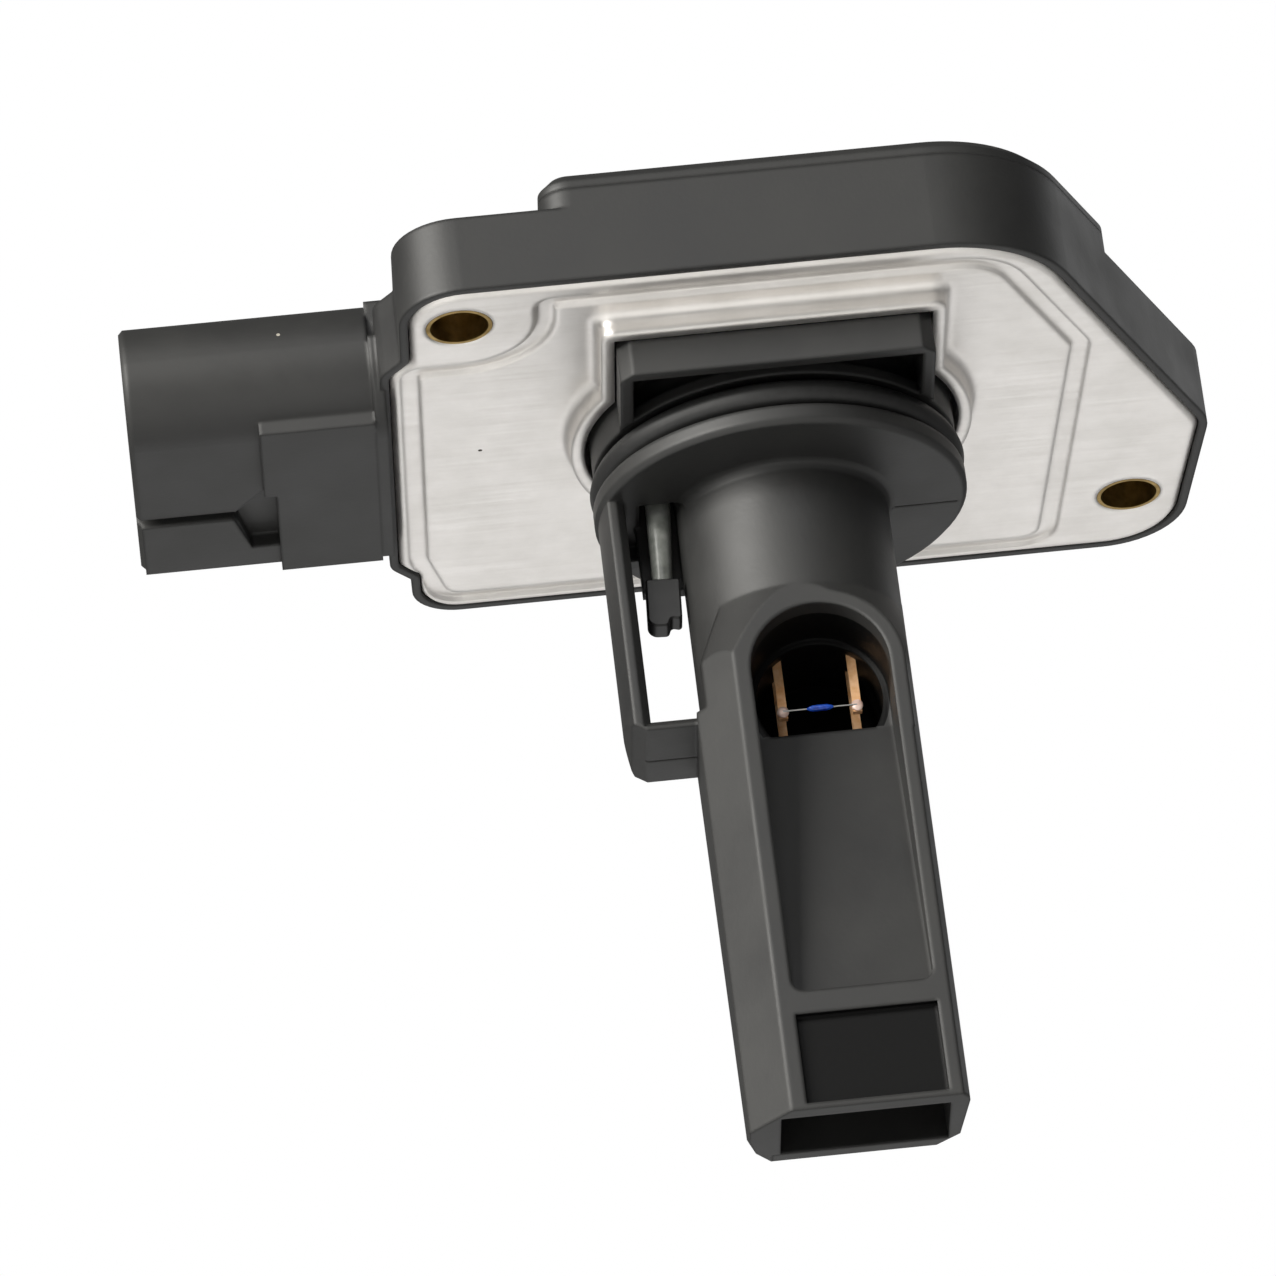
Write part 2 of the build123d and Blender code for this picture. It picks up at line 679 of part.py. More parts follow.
with BuildPart() as housing:
    # flange
    with BuildSketch(Plane.XY.offset(rim_recess)):
        add(housing_outline.sketch)
    extrude(amount=flange_top_z - rim_recess)

    # electronics box
    with BuildSketch(Plane.XY.offset(flange_top_z)):
        add(box_outline.sketch)
    extrude(amount=cover_seat_z - flange_top_z)

    # connector shroud with a wider root, and the neck that runs from it into the box
    with BuildSketch(Plane.YZ.offset(shroud_root_x)):
        add(shroud_outline.sketch)
    extrude(amount=shroud_end_x - shroud_root_x)
    chamfer(housing.faces().sort_by(Axis.X)[0].edges(), shroud_mouth_chamfer)
    with BuildSketch(Plane.YZ.offset(shroud_root_x)):
        add(shroud_outline.sketch)
        offset(amount=root_margin)
        with Locations((shroud_mid_y, shroud_centre_z + far / 2)):
            Rectangle(far, far, mode=Mode.SUBTRACT)
    extrude(amount=plate_left_x - housing_rim / 2 - shroud_root_x)
    neck_bottom_z = plate_thickness + rim_recess
    with BuildSketch(Plane.YZ.offset(shroud_root_x)):
        with Locations((shroud_mid_y, (neck_bottom_z + cover_seat_z) / 2)):
            Rectangle(shroud_depth_y - 2 * root_margin, cover_seat_z - neck_bottom_z)
    extrude(amount=box_left_x + box_wall / 2 - shroud_root_x)

    # latch pad, rail, recess and groove under the shroud
    with BuildSketch(Plane.XY.offset(shroud_bottom_z - latch_pad_height)):
        with BuildLine():
            Polyline(
                (latch_pad_left_x, latch_pad_front_y),
                (shroud_root_x, latch_pad_front_y),
                (shroud_root_x, shroud_rear_y),
                (latch_recess_right_x, shroud_rear_y),
                (latch_recess_right_x, latch_recess_front_y),
                (latch_pad_left_x, latch_recess_front_y),
                close=True,
            )
        make_face()
    extrude(amount=latch_pad_height + shroud_wall / 2)
    with BuildSketch(Plane.XY.offset(shroud_bottom_z - latch_rail_height)):
        with BuildLine():
            Polyline(
                (rail_start_x, latch_slot_y),
                (latch_recess_left_x, latch_slot_y),
                (latch_recess_left_x + 1.4, latch_recess_rear_y),
                (latch_recess_right_x, latch_recess_rear_y),
                (latch_recess_right_x, shroud_rear_y - shroud_rear_radius / 2),
                (rail_start_x, shroud_rear_y - shroud_rear_radius / 2),
                close=True,
            )
        make_face()
    extrude(amount=latch_rail_height + shroud_wall / 2)
    with BuildSketch(Plane.XY.offset(shroud_bottom_z - latch_pad_height)):
        with BuildLine():
            Polyline(
                (latch_recess_left_x, latch_slot_y),
                (latch_pad_left_x, latch_recess_front_y),
                (latch_recess_right_x, latch_recess_front_y),
                (latch_recess_right_x, latch_recess_rear_y),
                (latch_recess_left_x + 1.4, latch_recess_rear_y),
                (latch_recess_left_x + 0.5, latch_slot_y + 1.2),
                close=True,
            )
        make_face()
        with Locations(((shroud_end_x + latch_recess_left_x) / 2, latch_slot_y)):
            Rectangle(latch_recess_left_x - shroud_end_x + 0.5, latch_slot_width)
    extrude(amount=latch_pad_height + latch_recess_depth, mode=Mode.SUBTRACT)

    # socket for the plug, with two keying ribs on its upper wall
    with BuildSketch(Plane.YZ.offset(socket_floor_x)):
        add(socket_outline.sketch)
    extrude(amount=shroud_end_x - socket_floor_x, mode=Mode.SUBTRACT)
    with BuildSketch(Plane.YZ.offset(socket_floor_x)):
        with Locations((shroud_mid_y, shroud_top_z - shroud_wall - guide_rib_height / 2 + 0.1)):
            with GridLocations(guide_rib_spacing, 0, 2, 1):
                Rectangle(guide_rib_width, guide_rib_height + 0.2)
    extrude(amount=shroud_end_x + 3.0 - socket_floor_x)

    # seat of the base plate
    with BuildSketch(Plane.XY.offset(rim_recess)):
        add(plate_seat_outline.sketch)
    extrude(amount=plate_thickness - rim_recess, mode=Mode.SUBTRACT)

    # spigot: neck, O-ring groove and collar
    with BuildSketch(Plane.XZ):
        with BuildLine():
            Polyline(
                (0, plate_thickness),
                (collar_upper_radius, plate_thickness),
                (collar_upper_radius, ring_groove_top_z),
                (ring_groove_floor_radius, ring_groove_top_z),
                (ring_groove_floor_radius, ring_groove_bottom_z),
                (collar_radius, ring_groove_bottom_z),
                (collar_radius, collar_lower_z + collar_edge_radius),
                (collar_radius - collar_edge_radius, collar_lower_z),
                (0, collar_lower_z),
                close=True,
            )
        make_face()
    revolve(axis=Axis.Z)

    # square block in front of the neck, hollow from below
    with BuildSketch(Plane.XY.offset(block_lower_z)) as block_plan:
        with Locations((0, block_front_y / 2)):
            Rectangle(2 * block_half_width, -block_front_y)
        chamfer(block_plan.vertices().group_by(Axis.Y)[0], block_corner)
        Circle(neck_radius - 0.5, mode=Mode.SUBTRACT)
    extrude(amount=plate_thickness - block_lower_z)
    pocket_roof_z = block_lower_z + block_pocket_depth
    for pocket_z, pocket_end_z, inner_radius in (
        (block_lower_z, collar_upper_z, collar_upper_radius),
        (collar_upper_z, pocket_roof_z, neck_radius),
    ):
        with BuildSketch(Plane.XY.offset(pocket_z)):
            with Locations((0, (block_front_y + block_wall) / 2)):
                Rectangle(2 * (block_half_width - block_wall), -block_front_y - block_wall)
            Circle(inner_radius, mode=Mode.SUBTRACT)
        extrude(amount=pocket_end_z - pocket_z, mode=Mode.SUBTRACT)
    with BuildSketch(Plane.XY.offset(ring_groove_top_z)):
        Circle(collar_radius + 0.5)
        Circle(ring_groove_floor_radius, mode=Mode.SUBTRACT)
    extrude(amount=ring_groove_bottom_z - ring_groove_top_z, mode=Mode.SUBTRACT)

    # probe: round tube, flat-fronted body, box-shaped rear and the rim round the inlet
    add(probe_body.part)
    with BuildSketch(Plane.XY.offset(body_top_z)):
        Circle(tube_radius)
    extrude(amount=collar_lower_z - body_top_z)
    with BuildSketch(Plane.XY.offset(body_top_z)):
        with Locations(((tube_radius + probe_right_x) / 2 - tube_radius, rear_flat_top_y / 2 + 0.2)):
            Rectangle(tube_radius + probe_right_x, rear_flat_top_y + 0.4)
    extrude(amount=rear_flat_top_z - body_top_z)
    with BuildSketch(Plane.XZ.offset(-probe_front_y)):
        with Locations((inlet_x, inlet_arch_z)):
            Circle(inlet_radius + inlet_rim)
        with Locations((inlet_x, (inlet_arch_z + body_top_z) / 2 - 1.0)):
            Rectangle(2 * (inlet_radius + inlet_rim), inlet_arch_z - body_top_z + 2.0)
    extrude(amount=probe_front_y + 1.0)
    with BuildSketch(Plane.YZ):
        with BuildLine():
            Polyline(
                (rear_face_y(probe_tip_z - 1.0), probe_tip_z - 1.0),
                (rear_face_y(rear_flat_top_z), rear_flat_top_z),
                (far, rear_flat_top_z),
                (far, probe_tip_z - 1.0),
                close=True,
            )
        make_face()
    extrude(amount=far, both=True, mode=Mode.SUBTRACT)

    rear_plane = Plane(
        origin=(0, rear_face_y(probe_tip_z), probe_tip_z),
        x_dir=(1, 0, 0),
        z_dir=(0, rear_slope, 1),
    )
    with BuildSketch(rear_plane):
        for side_x, side in ((probe_left_x, -1), (probe_right_x, 1)):
            with BuildLine():
                Polyline(
                    (side_x - side * rear_corner, 0),
                    (side_x, -rear_corner),
                    (side_x + side * rear_corner, rear_corner),
                    close=True,
                )
            make_face()
    extrude(amount=rear_flat_top_z - probe_tip_z, mode=Mode.SUBTRACT)

    # frame that guards the thermistor
    with BuildSketch(Plane.XY.offset(frame_bottom_z)):
        Circle(collar_radius - frame_inset)
        with Locations((-collar_radius / 2, 0)):
            Rectangle(collar_radius, -2 * frame_front_y, mode=Mode.INTERSECT)
        Circle(tube_radius - 0.5, mode=Mode.SUBTRACT)
    extrude(amount=collar_lower_z - frame_bottom_z)
    frame_outer_x = frame_inset - collar_radius
    with BuildSketch(Plane.XZ):
        with BuildLine():
            Polyline(
                (frame_outer_x, frame_bottom_z + frame_corner_height),
                (frame_outer_x + 0.3 * frame_corner, frame_bottom_z + 0.35 * frame_corner_height),
                (frame_outer_x + frame_corner, frame_bottom_z),
                (frame_outer_x - 1.0, frame_bottom_z - 1.0),
                close=True,
            )
        make_face()
    extrude(amount=-2 * frame_front_y, both=True, mode=Mode.SUBTRACT)
    with BuildSketch(Plane.XY.offset(frame_window_bottom_z)):
        with Locations((frame_inner_x / 2, 0)):
            Rectangle(-frame_inner_x, 2 * frame_window_half_depth)
        Circle(tube_radius, mode=Mode.SUBTRACT)
    extrude(amount=collar_lower_z - frame_window_bottom_z, mode=Mode.SUBTRACT)
    window_rim = housing.edges().filter_by_position(Axis.Y, frame_front_y, frame_front_y)
    upright = window_rim.filter_by(Axis.Z).filter_by_position(Axis.X, frame_inner_x, frame_inner_x)
    sill = window_rim.filter_by(Axis.X).filter_by_position(
        Axis.Z, frame_window_bottom_z, frame_window_bottom_z
    )
    chamfer(upright + sill, frame_edge_chamfer)

    # hollow fillet round the tube's root, and the pocket for the leads that cuts through it
    root_z = collar_lower_z - tube_root_fillet
    with BuildSketch(Plane.XZ):
        with BuildLine():
            Polyline(
                (tube_radius - 0.5, root_z),
                (tube_radius, root_z),
                (tube_radius + 0.3 * tube_root_fillet, collar_lower_z - 0.3 * tube_root_fillet),
                (tube_radius + tube_root_fillet, collar_lower_z),
                (tube_radius - 0.5, collar_lower_z),
                close=True,
            )
        make_face()
    revolve(axis=Axis.Z)
    with BuildSketch(Plane.XY.offset(root_z)):
        with Locations((lead_pocket_left_x / 2, 0)):
            Rectangle(-lead_pocket_left_x, 2 * lead_pocket_half_width)
        Circle(tube_radius, mode=Mode.SUBTRACT)
    extrude(amount=lead_pocket_top_z - root_z, mode=Mode.SUBTRACT)

    # rib behind the sleeve, and the web that closes the top of the window behind it
    with BuildSketch(Plane.XY.offset(thermistor_top_z)):
        with Locations(((rib_left_x - tube_radius) / 2, rib_front_y + rib_thickness / 2)):
            Rectangle(-rib_left_x - tube_radius + 1.0, rib_thickness)
        with Locations((rib_left_x - 0.5, rib_front_y)):
            Rectangle(1.0, far, mode=Mode.SUBTRACT)
    extrude(amount=lead_pocket_top_z - thermistor_top_z)
    with BuildSketch(Plane.XY.offset(frame_web_bottom_z)):
        with Locations(((frame_inner_x - tube_radius) / 2, (frame_web_front_y - frame_front_y) / 2)):
            Rectangle(-frame_inner_x - tube_radius + 1.0, -frame_front_y - frame_web_front_y)
    extrude(amount=collar_lower_z - frame_web_bottom_z)

    # parting line across the collar's lower face and under the frame
    with BuildSketch(Plane.XY.offset(collar_lower_z)):
        with Locations(((tube_radius + neck_radius) / 2 + 0.4, parting_y)):
            Rectangle(neck_radius - tube_radius + 0.6, parting_line_width)
    extrude(amount=parting_line_width, mode=Mode.SUBTRACT)
    with BuildSketch(Plane.XY.offset(frame_bottom_z)):
        with Locations((-(tube_radius + neck_radius) / 2, parting_y)):
            Rectangle(neck_radius - tube_radius - 0.6, parting_line_width)
    extrude(amount=parting_line_width, mode=Mode.SUBTRACT)

    # air passage
    add(inlet_recess.part, mode=Mode.SUBTRACT)
    add(air_duct.part, mode=Mode.SUBTRACT)
    add(passage_cover.part, mode=Mode.SUBTRACT)
    with BuildSketch(Plane.XZ.offset(-probe_front_y)):
        pocket_mid_z = (blind_pocket_top_z + blind_pocket_bottom_z) / 2
        with Locations((inlet_x, pocket_mid_z)):
            Rectangle(2 * inlet_radius, blind_pocket_top_z - blind_pocket_bottom_z)
    extrude(amount=-blind_pocket_depth, mode=Mode.SUBTRACT)

    # chamber for the circuit, with a window in its floor where the board lies on the plate
    with BuildSketch(Plane.XY.offset(chamber_floor_z)):
        add(chamber_outline.sketch)
    extrude(amount=box_top_z - chamber_floor_z, mode=Mode.SUBTRACT)
    with BuildSketch(Plane.XY.offset(plate_thickness)):
        with Locations(((window_left_x + window_right_x) / 2, (window_front_y + window_rear_y) / 2)):
            Rectangle(window_right_x - window_left_x, window_rear_y - window_front_y)
    extrude(amount=chamber_floor_z - plate_thickness, mode=Mode.SUBTRACT)

    # grooves for the two sealing beads
    with BuildSketch(Plane.XY.offset(plate_thickness)):
        add(box_outline.sketch)
        offset(amount=-box_wall + sealant_width / 2)
        offset(amount=-sealant_width, mode=Mode.SUBTRACT)
    extrude(amount=sealant_depth, mode=Mode.SUBTRACT)
    with BuildSketch(Plane.XY.offset(cover_seat_z)):
        add(box_outline.sketch)
        offset(amount=-(box_wall - sealant_width) / 2)
        offset(amount=-sealant_width, mode=Mode.SUBTRACT)
    extrude(amount=-sealant_depth, mode=Mode.SUBTRACT)

    # moulded-in metal
    for insert in [*bushes.values(), *pins.values(), *posts.values(), *leads.values()]:
        add(insert, mode=Mode.SUBTRACT)
    with Locations(screw_left, screw_right):
        Cylinder(screw_hole_radius, far, mode=Mode.SUBTRACT)

# ================================================================ lid of the electronics box
with BuildPart() as cover:
    with BuildSketch(Plane.XY.offset(cover_seat_z)):
        add(box_outline.sketch)
    extrude(amount=cover_thickness)
    chamfer(cover.faces().sort_by(Axis.Z)[-1].edges(), cover_edge_chamfer)
    with BuildSketch(Plane.XY.offset(cover_seat_z)):
        add(chamber_outline.sketch)
        offset(amount=-fit_clearance)
        offset(amount=-cover_rib_wall, mode=Mode.SUBTRACT)
    extrude(amount=-cover_rib_height)

with BuildPart() as cover_sealant:
    with BuildSketch(Plane.XY.offset(cover_seat_z)):
        add(box_outline.sketch)
        offset(amount=-(box_wall - sealant_width) / 2)
        offset(amount=-sealant_width, mode=Mode.SUBTRACT)
    extrude(amount=-sealant_depth)

with BuildPart() as plate_sealant:
    with BuildSketch(Plane.XY.offset(plate_thickness)):
        add(box_outline.sketch)
        offset(amount=-box_wall + sealant_width / 2)
        offset(amount=-sealant_width, mode=Mode.SUBTRACT)
    extrude(amount=sealant_depth)

# ================================================================ hybrid circuit
board_x = (window_left_x + window_right_x) / 2
board_y = (window_front_y + window_rear_y) / 2
board_width = window_right_x - window_left_x - 2 * board_gap
board_length = window_rear_y - window_front_y - 2 * board_gap
with BuildPart() as circuit_board:
    with BuildSketch(Plane.XY.offset(plate_thickness)):
        with Locations((board_x, board_y)):
            Rectangle(board_width, board_length)
    extrude(amount=board_thickness)

with BuildPart() as control_chip:
    with BuildSketch(Plane.XY.offset(board_top_z)):
        with Locations((board_x, board_y)):
            Rectangle(chip_size, chip_size)
    extrude(amount=chip_height)
    chamfer(control_chip.faces().sort_by(Axis.Z)[-1].edges(), 0.15)

with BuildPart() as chip_capacitors:
    for step in (-1, 0, 1):
        with Locations((board_x, board_y - 6.0 + 1.6 * step, board_top_z + capacitor_size[2] / 2)):
            Box(*capacitor_size)

with BuildPart() as chip_resistors:
    for step in (-1, 0, 1, 2):
        with Locations((board_x, board_y + 5.5 + 1.6 * step, board_top_z + resistor_size[2] / 2)):
            Box(*resistor_size)

# bond ribbons: each one rises from a pad, spans the edge of the board and comes down on it
pin_rows = [shroud_mid_y + (index - (pin_count - 1) / 2) * pin_pitch for index in range(pin_count)]
strip_rows = [lane_y for _, _, lane_y, _ in post_places.values()]
lead_rows = [thermistor_y + side * lead_spacing / 2 for side in (-1, 1)]
bond_sites = [(pin_pad_end_x, 1, pin_top_z, row_y, bond_width) for row_y in pin_rows]
bond_sites += [(lane_end_x, -1, strip_top_z, row_y, bond_width) for row_y in strip_rows + lead_rows]
with BuildPart() as bond_wires:
    for pad_x, side, pad_z, row_y, ribbon_width in bond_sites:
        half = bond_thickness / 2
        with BuildSketch(Plane.XZ.offset(-row_y)):
            with BuildLine() as ribbon:
                Polyline(
                    (pad_x - side * bond_inset * 1.6, pad_z + half),
                    (pad_x - side * bond_inset * 0.6, pad_z + half),
                    (pad_x + side * bond_inset * 0.4, pad_z + bond_rise),
                    (pad_x + side * bond_inset * 1.4, pad_z + bond_rise * 0.4),
                    (pad_x + side * (bond_span - bond_inset), board_top_z + half),
                    (pad_x + side * (bond_span + bond_inset * 0.4), board_top_z + half),
                )
            trace(ribbon.line, bond_thickness)
        extrude(amount=ribbon_width / 2, both=True)

with BuildPart() as sealing_gel:
    with BuildSketch(Plane.XY.offset(chamber_floor_z)):
        add(chamber_outline.sketch)
    extrude(amount=gel_top_z - chamber_floor_z)
    with BuildSketch(Plane.XY.offset(plate_thickness)):
        with Locations((board_x, board_y)):
            Rectangle(window_right_x - window_left_x, window_rear_y - window_front_y)
    extrude(amount=chamber_floor_z - plate_thickness)
    for potted in (circuit_board, control_chip, chip_capacitors, chip_resistors, bond_wires):
        add(potted.part, mode=Mode.SUBTRACT)
    for potted in [*pins.values(), *posts.values(), *leads.values()]:
        add(potted, mode=Mode.SUBTRACT)

# ================================================================ export
finish(housing.part, "housing")
finish(base_plate.part, "base_plate")
finish(cover.part, "cover")
finish(cover_sealant.part, "cover_sealant")
finish(plate_sealant.part, "plate_sealant")
finish(o_ring.part, "o_ring")
finish(passage_cover.part, "passage_cover")
finish(thermistor.part, "thermistor")
finish(thermistor_sleeve.part, "thermistor_sleeve")
finish(circuit_board.part, "circuit_board")
finish(control_chip.part, "control_chip")
finish(chip_capacitors.part, "chip_capacitors")
finish(chip_resistors.part, "chip_resistors")
finish(bond_wires.part, "bond_wires")
finish(sealing_gel.part, "sealing_gel")
for group in (bushes, pins, posts, leads, elements):
    for piece_name, piece in group.items():
        finish(piece, piece_name)
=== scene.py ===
# %% [markdown]
# # A plug-in mass airflow sensor
#
# The sensor hangs through a hole in an engine's intake duct. A plate of rolled aluminium closes
# the hole, a black plastic moulding carries the circuit above it and the air passage below it.
# The solids come in first as a fixed frame, in metres, and every finish is laid on top of them.

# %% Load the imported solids
from math import radians

import bmesh
import bpy
from mathutils import Matrix, Vector


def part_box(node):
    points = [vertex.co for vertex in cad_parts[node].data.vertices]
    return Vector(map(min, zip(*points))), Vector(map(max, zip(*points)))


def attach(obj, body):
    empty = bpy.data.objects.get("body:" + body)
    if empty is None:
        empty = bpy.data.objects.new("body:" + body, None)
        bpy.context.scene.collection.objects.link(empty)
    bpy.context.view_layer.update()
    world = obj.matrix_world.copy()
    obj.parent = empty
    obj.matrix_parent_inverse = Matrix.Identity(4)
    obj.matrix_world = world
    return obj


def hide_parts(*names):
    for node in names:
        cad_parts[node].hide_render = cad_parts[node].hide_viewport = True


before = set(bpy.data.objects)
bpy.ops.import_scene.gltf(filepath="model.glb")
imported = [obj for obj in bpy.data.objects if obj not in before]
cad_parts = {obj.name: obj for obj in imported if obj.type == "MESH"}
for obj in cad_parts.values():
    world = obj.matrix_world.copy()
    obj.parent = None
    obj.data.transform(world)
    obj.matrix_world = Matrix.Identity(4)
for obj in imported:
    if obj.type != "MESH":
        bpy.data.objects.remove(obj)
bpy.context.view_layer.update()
MM = 0.001
print("solids loaded:", len(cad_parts))

# %% [markdown]
# ## The camera
#
# A long lens keeps the upright edges nearly parallel. The camera stands in front and well below
# the plate, leaned a little, so the underside with its screw holes and the probe's front both show.

# %% Place the camera
eye = Vector((-47.93, -649.70, -352.64)) * MM
right = Vector((0.99405, 0.00184, -0.10884))
up = Vector((0.09754, -0.45923, 0.88294))
forward = Vector((0.04836, 0.88831, 0.45668))
turn = Matrix((right, up, -forward)).transposed().to_4x4()
camera_data = bpy.data.cameras.new("camera")
camera_data.sensor_width = 36.0
camera_data.lens = 261.5
camera_data.clip_start = 0.05
camera_data.clip_end = 20.0
camera = bpy.data.objects.new("camera", camera_data)
camera.matrix_world = Matrix.Translation(eye) @ turn
bpy.context.scene.collection.objects.link(camera)
bpy.context.scene.camera = camera
print("camera stands", round(eye.length, 3), "m from the origin")

# %% [markdown]
# ## Floor and light
#
# Black plastic shows its form only by what it reflects, so the part stands in an even white tent
# and one strong panel does the modelling. That panel hangs on the left in front, little higher than
# the part, and draws a soft bright band down the tube. Three weak ones help: one above the front,
# one behind and below that lights the sheet metal, and one at the right rear for the edges.

# %% Build the pale floor
bpy.ops.object.select_all(action="DESELECT")
floor_width = 6.0
floor_height = -0.62
bpy.ops.mesh.primitive_plane_add(size=floor_width, location=(0, 0, floor_height))
floor = bpy.context.object
floor.name = "pale_floor"
bpy.ops.object.transform_apply(location=True, rotation=True, scale=True)
print("floor is", floor_width, "m wide and lies at", floor_height, "m")


# %% Helpers for colours and nodes
def hex_linear(code):
    """Turn an sRGB hex value such as "#c8c4c0" into linear colour with full alpha."""
    values = [int(code[i : i + 2], 16) / 255 for i in (1, 3, 5)]
    linear = [v / 12.92 if v <= 0.04045 else ((v + 0.055) / 1.055) ** 2.4 for v in values]
    return (*linear, 1.0)


def add_node(tree, kind, inputs=None, links=None, **settings):
    """Add one node, set its fields and sockets, and link other nodes' outputs into it."""
    node = tree.nodes.new(kind)
    for field, value in settings.items():
        setattr(node, field, value)
    for socket, value in (inputs or {}).items():
        node.inputs[socket].default_value = value
    for socket, source in (links or {}).items():
        tree.links.new(source, node.inputs[socket])
    return node


# %% Hang the soft panels
def hang_panel(name, place, target, width, height, power, tint="#ffffff"):
    """Hang a rectangular soft light at a place and turn it towards a target."""
    data = bpy.data.lights.new(name, "AREA")
    data.shape = "RECTANGLE"
    data.size = width
    data.size_y = height
    data.energy = power
    data.color = hex_linear(tint)[:3]
    panel = bpy.data.objects.new(name, data)
    panel.location = place
    aim = Vector(target) - Vector(place)
    panel.rotation_euler = aim.to_track_quat("-Z", "Y").to_euler()
    bpy.context.scene.collection.objects.link(panel)
    return panel


centre = (0, 0, -0.02)
panels = [
    hang_panel("key_panel", (-0.74, -0.67, 0.18), centre, 0.72, 0.45, 24.0, "#fffdf8"),
    hang_panel("front_panel", (0.02, -0.86, 0.44), centre, 0.50, 0.34, 1.5),
    hang_panel("sheet_panel", (0.05, 0.86, -0.48), centre, 1.00, 0.60, 1.3),
    hang_panel("edge_panel", (0.70, 0.55, 0.42), centre, 0.45, 0.45, 0.85),
]
print("panels hung:", len(panels))

# %% Surround the part with a white tent
world = bpy.data.worlds.new("white_tent")
bpy.context.scene.world = world
world.use_nodes = True
background = world.node_tree.nodes["Background"]
background.inputs["Color"].default_value = (1.0, 1.0, 1.0, 1.0)
to_camera = 1.0
as_light = 0.25
in_reflections = 0.12
rays = add_node(world.node_tree, "ShaderNodeLightPath")
seen = add_node(
    world.node_tree,
    "ShaderNodeMath",
    {1: to_camera - as_light, 2: as_light},
    {0: rays.outputs["Is Camera Ray"]},
    operation="MULTIPLY_ADD",
)
mirrored = add_node(
    world.node_tree,
    "ShaderNodeMath",
    {1: in_reflections - as_light},
    {0: rays.outputs["Is Glossy Ray"], 2: seen.outputs[0]},
    operation="MULTIPLY_ADD",
)
world.node_tree.links.new(mirrored.outputs[0], background.inputs["Strength"])
bpy.context.scene.view_settings.view_transform = "Standard"
print("tent shines", to_camera, "to the camera,", as_light, "on the part")

# %% [markdown]
# ## Finishes
#
# Each material starts from the real one and how it was made. Patterns read object coordinates in
# metres, so a scale of 1000 means one cell to a millimetre.


# %% Start a material
def new_material(name, colour, roughness, metallic=0.0, ior=1.5):
    """Make a material with one shader whose plain sockets hold the typical values."""
    material = bpy.data.materials.new(name)
    material.use_nodes = True
    tree = material.node_tree
    shader = tree.nodes["Principled BSDF"]
    shader.inputs["Base Color"].default_value = hex_linear(colour)
    shader.inputs["Roughness"].default_value = roughness
    shader.inputs["Metallic"].default_value = metallic
    if metallic == 0.0:
        shader.inputs["IOR"].default_value = ior
    place = add_node(tree, "ShaderNodeTexCoord").outputs["Object"]
    return material, tree, shader, place


# %% Patterns that several finishes share
# Most values of soft noise lie between these two.
pattern_low = 0.3
pattern_high = 0.7


def clouded_tone(tree, place, dark, light, scale, detail, roughness):
    """Spread the usual values of soft noise between two colours, and give noise and colour."""
    clouds = add_node(
        tree,
        "ShaderNodeTexNoise",
        {"Scale": scale, "Detail": detail, "Roughness": roughness},
        {"Vector": place},
    )
    ramp = add_node(tree, "ShaderNodeValToRGB", links={"Fac": clouds.outputs["Fac"]})
    low_end, high_end = ramp.color_ramp.elements
    low_end.position = pattern_low
    low_end.color = hex_linear(dark)
    high_end.position = pattern_high
    high_end.color = hex_linear(light)
    return clouds.outputs["Fac"], ramp.outputs["Color"]


def specked(tree, place, tone, mark, scale, size, rarity):
    """Scatter small round marks over a tone: one at the heart of each cell that is rare enough."""
    cells = add_node(
        tree, "ShaderNodeTexVoronoi", {"Scale": scale, "Randomness": 1.0}, {"Vector": place}
    )
    near = add_node(
        tree, "ShaderNodeMath", {1: size}, {0: cells.outputs["Distance"]}, operation="LESS_THAN"
    )
    split = add_node(tree, "ShaderNodeSeparateColor", links={"Color": cells.outputs["Color"]})
    few = add_node(
        tree, "ShaderNodeMath", {1: rarity}, {0: split.outputs["Red"]}, operation="GREATER_THAN"
    )
    speck = add_node(
        tree, "ShaderNodeMath", links={0: near.outputs[0], 1: few.outputs[0]}, operation="MULTIPLY"
    )
    marked = add_node(
        tree,
        "ShaderNodeMix",
        links={"Factor": speck.outputs[0]},
        data_type="RGBA",
        blend_type="MIX",
    )
    tree.links.new(tone, marked.inputs[6])
    marked.inputs[7].default_value = hex_linear(mark)
    return marked.outputs[2]


def rounded_relief(tree, shader, height, strength, depth, edge, samples):
    """Raise a fine relief on a surface whose edges shade as if rounded by a radius in mm."""
    rounded = add_node(tree, "ShaderNodeBevel", {"Radius": edge * MM}, samples=samples)
    bump = add_node(
        tree,
        "ShaderNodeBump",
        {"Strength": strength, "Distance": depth * MM},
        {"Height": height, "Normal": rounded.outputs["Normal"]},
    )
    tree.links.new(bump.outputs["Normal"], shader.inputs["Normal"])
